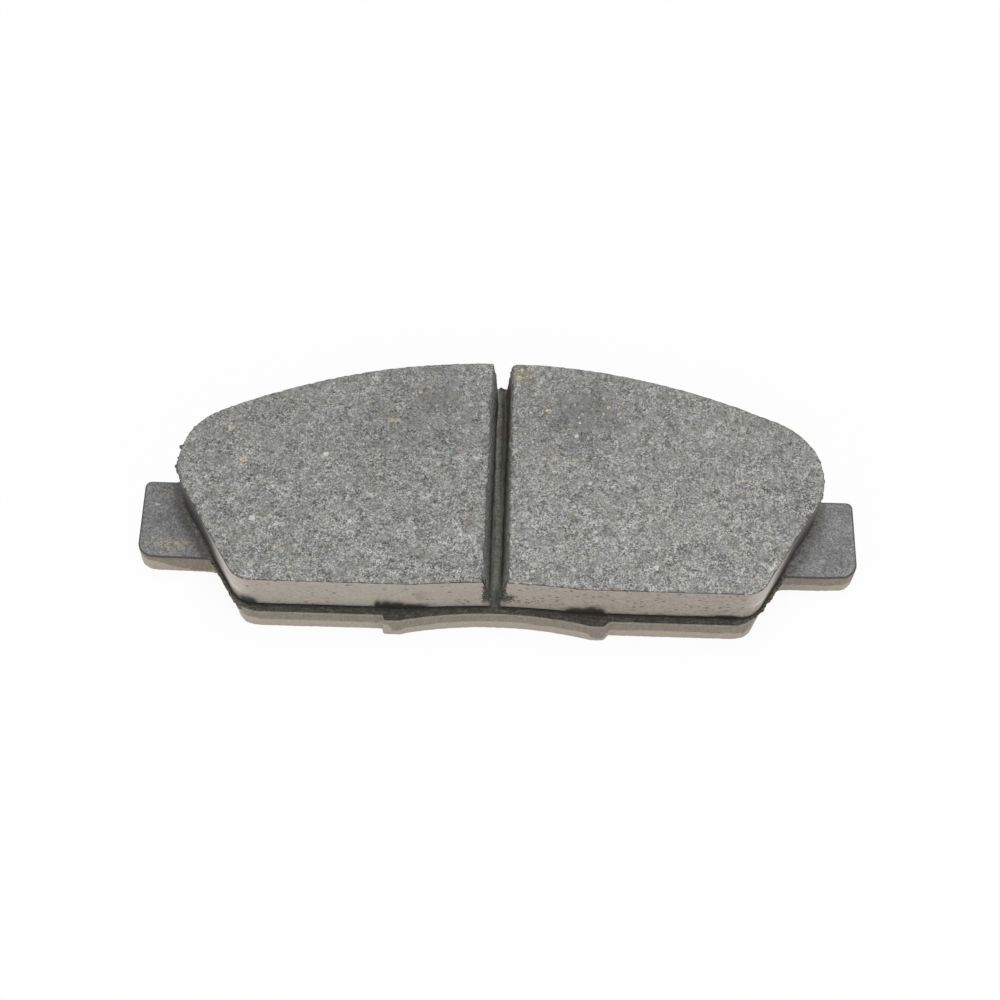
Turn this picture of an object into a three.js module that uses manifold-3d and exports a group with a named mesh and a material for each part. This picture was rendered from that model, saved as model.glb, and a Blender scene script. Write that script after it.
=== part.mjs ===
// A disc brake pad: a stamped steel backing plate with an ear at each end, a bonding film that is
// pressed out over the plate's margin, and two friction blocks with a slot between them. Each
// block stands on its own underlayer, which is keyed through holes in the plate.
// Millimetres. X runs across the ears, +Y points away from the disc's axis and +Z towards the
// disc. Z = 0 is the plate's back face, and X = Y = 0 the middle of the plate's height and width.
import * as THREE from "three";
import { mergeVertices } from "three/addons/utils/BufferGeometryUtils.js";
import Module from "manifold-3d";

const wasm = await Module();
wasm.setup();

const degrees = Math.PI / 180;

// Thickness of each layer, from the back face up
const plateThickness = 6.0;
const filmThickness = 0.3;
const underlayerThickness = 1.2;
const blockThickness = 9.5;

// Outline of the friction blocks, its heights measured down from the top of the outer arc
const outerArcRadius = 136.1; // an arc about the disc's axis
const blockWidth = 133.9;
const blockHeight = 53.5;
const shoulderRadius = 13.8;
const sideLean = 30.7 * degrees; // how far each side's outward normal points below level
const blockCornerRadius = 5.2;
const reliefWidth = 34; // shallow hollow in the middle of the lower edge
const reliefDepth = 0.9;
const edgeBreak = 0.25; // bevel around the ground face

// Slot between the blocks: steep walls below, and a flared mouth
const slotCentre = -0.3;
const slotFloorWidth = 2.6;
const slotThroatWidth = 3.2;
const slotMouthWidth = 4.5;
const slotMouthDepth = 4.5;

// The film: its flash beyond the blocks, and a low ridge of resin along the slot's floor
const flashAtTop = 0.45;
const flashBelow = 1.0;
const flashTurn = [-0.2, 0.5]; // it widens between edges that face this much downwards
const ridgeWidth = 1.0;
const ridgeHeight = 0.4;
const ridgeOffset = -0.2; // of the ridge's middle from the slot's
const ridgeSetback = 0.5; // of the ridge's ends from the edges of the blocks

// Outline of the backing plate
const topMargin = 0.7; // plate beyond the blocks at the outer arc
const lowerMargin = 1.75;
const sideMargin = -0.35; // the blocks stand out a little over the slanting sides
const earSpan = 150;
const earHeight = 17.9;
const earDrop = 25.3; // from the top of the blocks' outer arc to the ears' upper edge
const earUpperRadius = 1.4;
const earLowerRadius = 3.3;
const earRootUpperRadius = 1.0;
const earRootLowerRadius = 3.0;
const plateCornerRadius = 4.5;

// Two low feet on the plate's lower edge, with an arch between them
const archWidth = 39.6;
const archRise = 2.2;
const footWidth = 2.6;
const footHeight = 1.2;
const footSlope = 1.2; // run of the step outside each foot
const footRadius = 0.7;

// Stamped edge: a rolled front edge, a sheared band, and a fracture band that tapers inwards
const rolledEdge = 0.35;
const fractureHeight = 2.6;
const fractureTaper = 0.05;

// Punched holes, flared at the back, in which the underlayers are keyed
const holeRadius = 5.0;
const holeFlare = 0.4;
const holeArcDrop = 27; // from the outer arc to the arc that the holes lie on
const holeAngles = [11 * degrees, 24.5 * degrees]; // from the middle, about the disc's axis
const keyClearance = 0.3;
const keyRecess = 0.4; // how far the keys stop short of the back face
const holeSteps = 48;

// Heights of the layers
const filmZ = plateThickness;
const underlayerZ = filmZ + filmThickness;
const blockZ = underlayerZ + underlayerThickness;
const faceZ = blockZ + blockThickness;
const over = 1; // how far each cut runs past the faces that it opens

// Guide points and lines, with y = 0 at the top of the blocks' outer arc
const shoulder = new THREE.Vector2(blockWidth / 2 - shoulderRadius, 0);
shoulder.y = Math.sqrt((outerArcRadius - shoulderRadius) ** 2 - shoulder.x ** 2) - outerArcRadius;
const shoulderJoin = Math.atan2(shoulder.y + outerArcRadius, shoulder.x);
const sideNormal = new THREE.Vector2(Math.cos(sideLean), -Math.sin(sideLean));
const sideOffset = sideNormal.dot(shoulder) + shoulderRadius;
const plateLowerEdge = -(blockHeight + lowerMargin);

// Moves y = 0 from the top of the blocks to the middle of the plate.
const placeY = (blockHeight + lowerMargin + footHeight - topMargin) / 2;

// Points along an arc, both ends included.
function arc(x, y, radius, from, to, steps) {
  return Array.from({ length: steps + 1 }, (_, i) => {
    const angle = from + ((to - from) * i) / steps;
    return new THREE.Vector2(x + radius * Math.cos(angle), y + radius * Math.sin(angle));
  });
}

// The right half of a shallow hollow in a lower edge, from its middle outwards.
function hollow(width, depth, edgeY, steps) {
  const radius = (width ** 2 / 4 + depth ** 2) / (2 * depth);
  const reach = Math.asin(width / 2 / radius);
  return arc(0, edgeY + depth - radius, radius, Math.PI / 2, Math.PI / 2 - reach, steps);
}

// A rounded corner at b on the way from a to c.
function corner(a, b, c, radius, steps) {
  const back = a.clone().sub(b).normalize();
  const ahead = c.clone().sub(b).normalize();
  const half = Math.acos(back.dot(ahead)) / 2;
  const middle = back.clone().add(ahead).setLength(radius / Math.sin(half)).add(b);
  const reach = radius / Math.tan(half);
  const from = back.multiplyScalar(reach).add(b).sub(middle).angle();
  const to = ahead.multiplyScalar(reach).add(b).sub(middle).angle();
  const turn = Math.atan2(Math.sin(to - from), Math.cos(to - from));
  return arc(middle.x, middle.y, radius, from, from + turn, steps);
}

// A point of the slanting side at a given height, moved out by a margin.
function sidePoint(y, margin) {
  return new THREE.Vector2((sideOffset + margin - sideNormal.y * y) / sideNormal.x, y);
}

// The outer arc from the right shoulder to the middle, moved out by a margin.
function outerArc(margin) {
  return arc(0, -outerArcRadius, outerArcRadius + margin, shoulderJoin, Math.PI / 2, 20).slice(1);
}

// A whole counter-clockwise outline from its right half, which runs up from the lowest point.
function mirrored(half) {
  const left = half.slice(1, -1).reverse().map((p) => new THREE.Vector2(-p.x, p.y));
  return half.concat(left).map((p) => new THREE.Vector2(p.x, p.y + placeY));
}

function blockOutline() {
  const lower = -blockHeight;
  const inner = new THREE.Vector2(0, lower);
  return mirrored([
    ...hollow(reliefWidth, reliefDepth, lower, 8),
    ...corner(inner, sidePoint(lower, 0), sidePoint(shoulder.y, 0), blockCornerRadius, 8),
    ...arc(shoulder.x, shoulder.y, shoulderRadius, -sideLean, shoulderJoin, 14),
    ...outerArc(0),
  ]);
}

// The right ear, from its lower root around the tip and back to the shoulder.
function earPoints() {
  const upper = -earDrop;
  const lower = upper - earHeight;
  const lowerTip = new THREE.Vector2(earSpan / 2, lower);
  const upperTip = new THREE.Vector2(earSpan / 2, upper);
  const root = sidePoint(lower, sideMargin);
  const radius = shoulderRadius + topMargin;
  const rootY = upper + earRootUpperRadius - shoulder.y;
  const rootX = Math.sqrt((radius + earRootUpperRadius) ** 2 - rootY ** 2);
  const rootAngle = Math.atan2(rootY, rootX);
  return [
    ...corner(sidePoint(plateLowerEdge, sideMargin), root, lowerTip, earRootLowerRadius, 6),
    ...corner(root, lowerTip, upperTip, earLowerRadius, 6),
    ...corner(lowerTip, upperTip, new THREE.Vector2(0, upper), earUpperRadius, 5),
    ...arc(shoulder.x + rootX, shoulder.y + rootY, earRootUpperRadius,
      -Math.PI / 2, rootAngle - Math.PI, 4),
    ...arc(shoulder.x, shoulder.y, radius, rootAngle, shoulderJoin, 12).slice(1),
  ];
}

function plateOutline() {
  const footY = plateLowerEdge - footHeight;
  const footInner = new THREE.Vector2(archWidth / 2, footY);
  const footOuter = new THREE.Vector2(archWidth / 2 + footWidth, footY);
  const step = new THREE.Vector2(footOuter.x + footSlope, plateLowerEdge);
  const side = sidePoint(plateLowerEdge, sideMargin);
  const outline = mirrored([
    ...hollow(archWidth, archRise, footY, 10),
    ...corner(footInner, footOuter, step, footRadius, 3),
    ...corner(footOuter, step, side, footRadius, 3),
    ...corner(step, side, sidePoint(shoulder.y, sideMargin), plateCornerRadius, 8),
    ...earPoints(),
    ...outerArc(topMargin),
  ]);
  // The feet and the arch are centred on the slot.
  const ofFeet = (p) => Math.abs(p.x) < step.x + footRadius && p.y < placeY - blockHeight;
  return outline.map((p) => (ofFeet(p) ? new THREE.Vector2(p.x + slotCentre, p.y) : p));
}

// Moves each point of a counter-clockwise outline in by distance(normal), or out where negative.
function inset(outline, distance) {
  return outline.map((p, i) => {
    const before = outline.at(i - 1);
    const after = outline[(i + 1) % outline.length];
    const edgeNormal = new THREE.Vector2(p.y - before.y, before.x - p.x).normalize();
    const nextNormal = new THREE.Vector2(after.y - p.y, p.x - after.x).normalize();
    const normal = edgeNormal.clone().add(nextNormal).normalize();
    return p.clone().addScaledVector(normal, -distance(normal) / normal.dot(edgeNormal));
  });
}

// A closed geometry through outlines of equal length, given as [outline, z] from the lowest up.
function loft(...sections) {
  const lowest = sections[0][0];
  const highest = sections.at(-1)[0];
  const count = lowest.length;
  const top = (sections.length - 1) * count;
  const position = sections.flatMap(([outline, z]) => outline.flatMap((p) => [p.x, p.y, z]));
  const index = THREE.ShapeUtils.triangulateShape(lowest, []).flatMap(([a, b, c]) => [a, c, b]);
  for (let base = 0; base < top; base += count) {
    for (let i = 0; i < count; i++) {
      const a = base + i;
      const b = base + ((i + 1) % count);
      index.push(a, b, b + count, a, b + count, a + count);
    }
  }
  index.push(...THREE.ShapeUtils.triangulateShape(highest, []).flat().map((i) => i + top));
  const geometry = new THREE.BufferGeometry();
  geometry.setAttribute("position", new THREE.Float32BufferAttribute(position, 3));
  geometry.setIndex(index);
  return geometry;
}

// A closed geometry as a solid that can be joined and cut.
function solid(geometry) {
  const bare = geometry.clone();
  bare.deleteAttribute("normal");
  bare.deleteAttribute("uv");
  const merged = mergeVertices(bare);
  const index = merged.index.array;
  const triVerts = [];
  for (let i = 0; i < index.length; i += 3) {
    const [a, b, c] = index.slice(i, i + 3);
    if (a !== b && b !== c && c !== a) triVerts.push(a, b, c);
  }
  return new wasm.Manifold(new wasm.Mesh({
    numProp: 3,
    vertProperties: new Float32Array(merged.attributes.position.array),
    triVerts: new Uint32Array(triVerts),
  }));
}

function geometryOf(body) {
  const { vertProperties, triVerts } = body.getMesh();
  const geometry = new THREE.BufferGeometry();
  geometry.setAttribute("position", new THREE.BufferAttribute(vertProperties, 3));
  geometry.setIndex(new THREE.BufferAttribute(triVerts, 1));
  geometry.computeVertexNormals();
  return geometry;
}

// A profile of [x, z] points drawn out along Y, past both edges of the pad.
function alongSlot(profile) {
  const length = 2 * (blockHeight + footHeight + lowerMargin + topMargin);
  const shape = new THREE.Shape(profile.map(([x, z]) => new THREE.Vector2(x, z)));
  const geometry = new THREE.ExtrudeGeometry(shape, { depth: length, bevelEnabled: false });
  return solid(geometry.translate(0, 0, -length / 2).rotateX(Math.PI / 2));
}

// All that lies between one side's wall of the slot and the far side of the pad.
// Side is -1 for the left block's wall and 1 for the right block's.
function beyondSlotWall(side) {
  const floor = slotCentre + (side * slotFloorWidth) / 2;
  const throat = slotCentre + (side * slotThroatWidth) / 2;
  const mouth = slotCentre + (side * slotMouthWidth) / 2;
  const flare = (mouth - throat) / slotMouthDepth;
  const far = -side * blockWidth;
  const profile = [[far, underlayerZ - over], [floor, underlayerZ - over], [floor, underlayerZ],
    [throat, faceZ - slotMouthDepth], [mouth + flare * over, faceZ + over], [far, faceZ + over]];
  return alongSlot(side > 0 ? profile : profile.reverse());
}

// A solid turned about Z from [radius, z] points, copied to the chosen holes.
function atHoles(profile, sides) {
  const points = profile.map(([radius, z]) => new THREE.Vector2(radius, z));
  const turned = new THREE.LatheGeometry(points, holeSteps).rotateX(Math.PI / 2);
  const arcRadius = outerArcRadius - holeArcDrop;
  return sides.flatMap((side) => holeAngles.map((angle) => {
    const x = side * arcRadius * Math.sin(angle);
    const y = arcRadius * Math.cos(angle) - outerArcRadius + placeY;
    return solid(turned.clone().translate(x, y, 0));
  }));
}

// The inside of a punched hole, less a gap all round, from one height up to another.
function holeProfile(gap, from, to) {
  const wall = holeRadius - gap;
  const flared = wall + holeFlare * (1 - from / fractureHeight);
  return [[0, from], [flared, from], [wall, fractureHeight], [wall, to], [0, to]];
}

function backingPlate() {
  const outline = plateOutline();
  const rolled = [0, 30, 60, 90].map((angle) => {
    const back = rolledEdge * (1 - Math.cos(angle * degrees));
    const drop = rolledEdge * (1 - Math.sin(angle * degrees));
    return [inset(outline, () => back), plateThickness - drop];
  });
  const back = [inset(outline, () => fractureTaper), 0];
  const plate = solid(loft(back, [outline, fractureHeight], ...rolled));
  const holes = atHoles(holeProfile(0, -over, plateThickness + over), [-1, 1]);
  return holes.reduce((body, hole) => body.subtract(hole), plate);
}

function bondingFilm() {
  const reach = (normal) => {
    const below = THREE.MathUtils.smoothstep(-normal.y, ...flashTurn);
    return -THREE.MathUtils.lerp(flashAtTop, flashBelow, below);
  };
  const outline = inset(blockOutline(), reach);
  const film = solid(loft([outline, filmZ], [outline, underlayerZ])).add(slotRidge());
  const holes = atHoles(holeProfile(0, 0, underlayerZ + over), [-1, 1]);
  return holes.reduce((body, hole) => body.subtract(hole), film);
}

function slotRidge() {
  const middle = slotCentre + ridgeOffset;
  const foot = ridgeWidth / 2;
  const crest = ridgeWidth / 4;
  const top = underlayerZ + ridgeHeight;
  const root = underlayerZ - filmThickness / 2;
  const ridge = alongSlot([[middle - foot, root], [middle + foot, root],
    [middle + foot, underlayerZ], [middle + crest, top], [middle - crest, top],
    [middle - foot, underlayerZ]]);
  const ends = inset(blockOutline(), () => ridgeSetback);
  return ridge.intersect(solid(loft([ends, filmZ], [ends, top + over])));
}

function underlayer(side) {
  const outline = blockOutline();
  const layer = solid(loft([outline, underlayerZ], [outline, blockZ])).subtract(beyondSlotWall(side));
  const keys = atHoles(holeProfile(keyClearance, keyRecess, blockZ - underlayerThickness / 2), [side]);
  return keys.reduce((body, key) => body.add(key), layer);
}

function frictionBlock(side) {
  const outline = blockOutline();
  const face = inset(outline, () => edgeBreak);
  const whole = solid(loft([outline, blockZ], [outline, faceZ - edgeBreak], [face, faceZ]));
  return whole.subtract(beyondSlotWall(side));
}

const steel = { color: 0x4b4f54, roughness: 0.55, metalness: 0.3 };
const resin = { color: 0x2e2f2c, roughness: 0.6, metalness: 0 };
const underMix = { color: 0x7d7770, roughness: 0.9, metalness: 0 };
const frictionMix = { color: 0x8d8e8b, roughness: 0.85, metalness: 0 };

const pieces = [
  ["backing_plate", backingPlate(), steel],
  ["bonding_film", bondingFilm(), resin],
  ["underlayer_left", underlayer(-1), underMix],
  ["underlayer_right", underlayer(1), underMix],
  ["friction_block_left", frictionBlock(-1), frictionMix],
  ["friction_block_right", frictionBlock(1), frictionMix],
];

const pad = new THREE.Group();
for (const [name, body, finish] of pieces) {
  const mesh = new THREE.Mesh(geometryOf(body), new THREE.MeshStandardMaterial(finish));
  mesh.name = name;
  pad.add(mesh);
}

export default pad;
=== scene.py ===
"""The looks of a disc brake pad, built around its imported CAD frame. Lengths are in millimetres here,
and a mesh is scaled to metres when it is made."""
import math

import bpy
import numpy as np
from mathutils import Matrix, Vector
from mathutils.geometry import delaunay_2d_cdt
from numpy.linalg import norm


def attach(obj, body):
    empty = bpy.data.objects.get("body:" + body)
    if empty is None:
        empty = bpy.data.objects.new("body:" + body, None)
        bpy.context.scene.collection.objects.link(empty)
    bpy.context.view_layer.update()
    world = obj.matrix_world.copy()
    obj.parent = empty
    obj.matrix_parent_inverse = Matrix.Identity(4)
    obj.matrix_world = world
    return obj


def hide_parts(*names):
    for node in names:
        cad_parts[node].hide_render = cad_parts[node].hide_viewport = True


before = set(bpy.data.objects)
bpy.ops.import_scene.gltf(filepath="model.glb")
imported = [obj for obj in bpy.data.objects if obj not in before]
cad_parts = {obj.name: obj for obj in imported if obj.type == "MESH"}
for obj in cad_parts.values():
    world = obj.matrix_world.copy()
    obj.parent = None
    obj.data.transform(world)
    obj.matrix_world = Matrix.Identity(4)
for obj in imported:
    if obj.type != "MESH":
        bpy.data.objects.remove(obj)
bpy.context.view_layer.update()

MM = 0.001
SIDES = {"left": -1, "right": 1}

# Heights over the plate's back, where each layer starts, and the front wall
KEY_Z = 0.4
FILM_Z = 6.0
UNDERLAYER_Z = 6.3
BLOCK_Z = 7.5
MOUTH_Z = 12.5  # where the slot starts to open
FACE_Z = 17.0
FRONT_Y = -25.6


# Noise on points

def hashed(cells, seed):
    """A random value from 0 to 1 for each row of whole numbers."""
    keys = np.array([374761393, 668265263, 2147483629], np.uint64)
    mixed = (cells.astype(np.int64).astype(np.uint64) * keys).sum(axis=1)
    mixed = (mixed + np.uint64(seed * 1274126177)) & np.uint64(0xFFFFFFFF)
    for shift, factor in ((15, 2246822519), (13, 3266489917), (16, 668265263)):
        mixed = ((mixed ^ (mixed >> np.uint64(shift))) * np.uint64(factor)) & np.uint64(0xFFFFFFFF)
    return (mixed >> np.uint64(8)).astype(float) / 2 ** 24


def soft_noise(points, size, seed):
    """Smooth values from -1 to 1 at rows of x, y, z. Size is one wave, or one for each axis."""
    place = points / size
    cell = np.floor(place)
    part = place - cell
    part = part * part * (3 - 2 * part)
    total = np.zeros(len(points))
    for step in np.ndindex(2, 2, 2):
        step = np.array(step)
        weight = np.where(step, part, 1 - part).prod(axis=1)
        total += weight * hashed(cell + step, seed)
    return 2 * total - 1


def cell_noise(points, size, seed):
    """Distance to the nearest of scattered centres, in cells, and that centre's random value."""
    place = points / size
    base = np.floor(place)
    best = np.full(len(points), 9.0)
    value = np.zeros(len(points))
    for step in np.ndindex(3, 3, 3):
        cell = base + np.array(step) - 1
        centre = cell + np.stack([hashed(cell, seed + axis) for axis in range(3)], axis=1)
        distance = norm(centre - place, axis=1)
        closer = distance < best
        best[closer] = distance[closer]
        value[closer] = hashed(cell[closer], seed + 3)
    return best, value


def ease(value, low, high):
    """0 below low, 1 above high, and a smooth step between them."""
    t = np.clip((value - low) / (high - low), 0, 1)
    return t * t * (3 - 2 * t)


def clumps(points, size, seed, above, far=0.55, close=0.1, by_value=0):
    """1 on scattered round clumps and 0 between them. Only cells with a random value above a level hold
    one, far and close are distances in cells, and by_value is how much smaller a low value makes it."""
    near, value = cell_noise(points, size, seed)
    return (value > above) * ease(near, far, close) * (1 - by_value + by_value * value)


# Outlines

def cap_loops(node, height):
    """Closed outlines, counter-clockwise, of a CAD node's flat faces at a height, largest first."""
    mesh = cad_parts[node].data
    co = np.array([v.co for v in mesh.vertices]) / MM
    points, index = np.unique(co.round(3), axis=0, return_inverse=True)
    index = index.ravel()
    edges = set()
    for face in mesh.polygons:
        corners = [int(index[v]) for v in face.vertices]
        if abs(points[corners, 2] - height).max() < 0.01:
            edges |= set(zip(corners, corners[1:] + corners[:1]))
    ahead = {a: b for a, b in edges if (b, a) not in edges}
    loops = []
    while ahead:
        loop = [min(ahead)]
        while loop[-1] in ahead:
            loop.append(ahead.pop(loop[-1]))
        loop = points[loop[:-1], :2]
        loops.append(loop if area(loop) > 0 else loop[::-1])
    return sorted(loops, key=area, reverse=True)


def area(loop):
    after = np.roll(loop, -1, axis=0)
    return (loop[:, 0] * after[:, 1] - loop[:, 1] * after[:, 0]).sum() / 2


def resampled(loop, spacing, sharp=math.radians(28)):
    """The outline with even, closer points: curved between its points, and true to its corners."""
    after = np.roll(loop, -1, axis=0)
    chord = after - loop
    length = norm(chord, axis=1)
    along = chord / length[:, None]
    before_along = np.roll(along, 1, axis=0)
    before_length = np.roll(length, 1)
    is_corner = (along * before_along).sum(axis=1) < math.cos(sharp)
    tangent = along * length[:, None] ** 2 + before_along * before_length[:, None] ** 2
    tangent /= norm(tangent, axis=1)[:, None]
    out = []
    for i in range(len(loop)):
        j = (i + 1) % len(loop)
        start = along[i] if is_corner[i] else tangent[i]
        end = along[i] if is_corner[j] else tangent[j]
        steps = max(1, round(length[i] / spacing))
        t = (np.arange(steps) / steps)[:, None]
        out.append(
            (2 * t ** 3 - 3 * t ** 2 + 1) * loop[i] + (t ** 3 - 2 * t ** 2 + t) * start * length[i]
            + (3 * t ** 2 - 2 * t ** 3) * loop[j] + (t ** 3 - t ** 2) * end * length[i]
        )
    return np.concatenate(out)


def rounded(loop, at, radius, steps=6):
    """The outline with the corner nearest to a point rounded."""
    i = int(norm(loop - at, axis=1).argmin())
    corner = loop[i]
    back = loop[i - 1] - corner
    ahead = loop[(i + 1) % len(loop)] - corner
    back /= norm(back)
    ahead /= norm(ahead)
    half = math.acos(back @ ahead) / 2
    middle = back + ahead
    middle = corner + middle / norm(middle) * radius / math.sin(half)
    reach = radius / math.tan(half)
    start = np.arctan2(*(corner + back * reach - middle)[::-1])
    end = np.arctan2(*(corner + ahead * reach - middle)[::-1])
    turn = (end - start + math.pi) % (2 * math.pi) - math.pi
    angles = start + turn * np.arange(steps + 1) / steps
    arc = middle + radius * np.stack([np.cos(angles), np.sin(angles)], axis=1)
    return np.concatenate([loop[:i], arc, loop[i + 1:]])


def outward(loop):
    """The outward normal at each point of a counter-clockwise outline."""
    edge = np.roll(loop, -1, axis=0) - loop
    edge = edge / np.maximum(norm(edge, axis=1)[:, None], 1e-9)
    mean = edge + np.roll(edge, 1, axis=0)
    mean /= np.maximum(norm(mean, axis=1)[:, None], 1e-9)
    return np.stack([mean[:, 1], -mean[:, 0]], axis=1)


def inside(points, loop):
    """Whether each point is inside the outline."""
    result = np.zeros(len(points), bool)
    for a, b in zip(loop, np.roll(loop, -1, axis=0)):
        crosses = (a[1] > points[:, 1]) != (b[1] > points[:, 1])
        if crosses.any():
            x = a[0] + (points[:, 1] - a[1]) / (b[1] - a[1] or 1) * (b[0] - a[0])
            result ^= crosses & (points[:, 0] < x)
    return result


def gap_to(points, loop):
    """Each point's distance to the nearest point of a closely sampled outline."""
    gaps = [norm(part[:, None] - loop[None], axis=2).min(axis=1)
            for part in np.array_split(points, max(1, len(points) // 500))]
    return np.concatenate(gaps)


def scattered(loop, spacing, seed, jitter=0.3):
    """Points of a shaken triangular grid that lie well inside an outline."""
    low, high = loop.min(axis=0), loop.max(axis=0)
    rows = np.arange(low[1], high[1], spacing * math.sqrt(3) / 2)
    columns = np.arange(low[0], high[0], spacing)
    x, y = np.meshgrid(columns, rows)
    x[1::2] += spacing / 2
    rng = np.random.default_rng(seed)
    points = np.stack([x.ravel(), y.ravel()], axis=1)
    points += rng.uniform(-jitter, jitter, points.shape) * spacing
    points = points[inside(points, loop)]
    return points[gap_to(points, loop) > spacing * 0.6]


def spokes(loop):
    """The middle of a round outline, and the direction from there to each point."""
    middle = loop.mean(axis=0)
    offset = loop - middle
    return middle, offset / norm(offset, axis=1)[:, None]


def at_height(loop, z):
    """Points of an outline with one height, or with a height for each."""
    return np.column_stack([loop, np.full(len(loop), z) if np.isscalar(z) else z])


# Meshes

def add_object(name, data):
    thing = bpy.data.objects.new(name, data)
    bpy.context.scene.collection.objects.link(thing)
    return thing


class Piece:
    """A closed mesh made of rings of points, bands between the rings, and filled caps."""

    def __init__(self):
        self.points = []
        self.count = 0
        self.faces = []
        self.looks = []

    def add(self, points):
        self.points.append(points)
        self.count += len(points)
        return np.arange(self.count - len(points), self.count)

    def band(self, lower, upper, look=0):
        """Faces from a ring to the one above. Look is a number, or one for each face."""
        ring = np.stack([lower, np.roll(lower, -1), np.roll(upper, -1), upper], axis=1)
        self.faces += ring.tolist()
        self.looks += np.broadcast_to(look, len(ring)).tolist()

    def cap(self, rings, inner=None, height=None, look=0, up=True):
        """Fills the area inside the first ring and outside the others, through inner points."""
        placed = np.concatenate(self.points)
        loops = [placed[ring, :2] for ring in rings]
        flat = np.concatenate(loops)
        known = np.concatenate(rings)
        edges = []
        for loop in loops:
            span = np.arange(len(edges), len(edges) + len(loop))
            edges += np.stack([span, np.roll(span, -1)], axis=1).tolist()
        if inner is not None:
            known = np.append(known, self.add(np.column_stack([inner, height(inner)])))
            flat = np.concatenate([flat, inner])
        result = delaunay_2d_cdt([Vector(p) for p in flat], edges, [], 1, 1e-7)
        source = [origin[0] for origin in result[3]]
        faces = np.array([[source[v] for v in face] for face in result[2]])
        middle = flat[faces].mean(axis=1)
        keep = np.ones(len(faces), bool)
        for loop in loops[1:]:
            keep &= ~inside(middle, loop)
        faces = known[faces[keep]]
        self.faces += (faces if up else faces[:, ::-1]).tolist()
        self.looks += [look] * len(faces)

    def bands(self, rings, look=0):
        for lower, upper in zip(rings, rings[1:]):
            self.band(lower, upper, look)

    def make(self, name, materials, nodes, attributes=None, sharp=math.radians(38)):
        points = np.concatenate(self.points)
        mesh = bpy.data.meshes.new(name)
        mesh.from_pydata((points * MM).tolist(), [], self.faces)
        for material in materials:
            mesh.materials.append(material)
        mesh.polygons.foreach_set("material_index", self.looks)
        mesh.polygons.foreach_set("use_smooth", [True] * len(mesh.polygons))
        mesh.validate()
        mesh.update()
        mesh.set_sharp_from_angle(angle=sharp)
        for key, values in (attributes or {}).items():
            mesh.attributes.new(key, "FLOAT", "POINT").data.foreach_set("value", values)
        piece = add_object(name, mesh)
        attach(piece, "root")
        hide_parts(*nodes)
        return piece


# Materials

def colour(levels):
    """A colour for a shader from the six hex digits of its display levels."""
    c = np.array([*bytes.fromhex(levels)]) / 255
    linear = np.where(c <= 0.04045, c / 12.92, ((c + 0.055) / 1.055) ** 2.4)
    return (*linear.tolist(), 1.0)


class Nodes:
    """Adds nodes to a shader's tree, and joins them."""

    def __init__(self, tree):
        self.tree = tree

    def node(self, kind):
        return self.tree.nodes.new("ShaderNode" + kind)

    def put(self, socket, value):
        if isinstance(value, bpy.types.NodeSocket):
            self.tree.links.new(value, socket)
        else:
            socket.default_value = value

    def maths(self, operation, *values):
        node = self.node("Math")
        node.operation = operation
        for socket, value in zip(node.inputs, values):
            self.put(socket, value)
        return node.outputs[0]

    def times(self, product, *others):
        for value in others:
            product = self.maths("MULTIPLY", product, value)
        return product

    def most(self, top, *others):
        """The greatest of the values."""
        for value in others:
            top = self.maths("MAXIMUM", top, value)
        return top

    def ease(self, value, low, high, start=0, end=1):
        """Start below low, end above high, and a smooth step between them."""
        node = self.node("MapRange")
        node.interpolation_type = "SMOOTHSTEP"
        for name, given in (("Value", value), ("From Min", low), ("From Max", high),
                            ("To Min", start), ("To Max", end)):
            self.put(node.inputs[name], given)
        return node.outputs["Result"]


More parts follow.
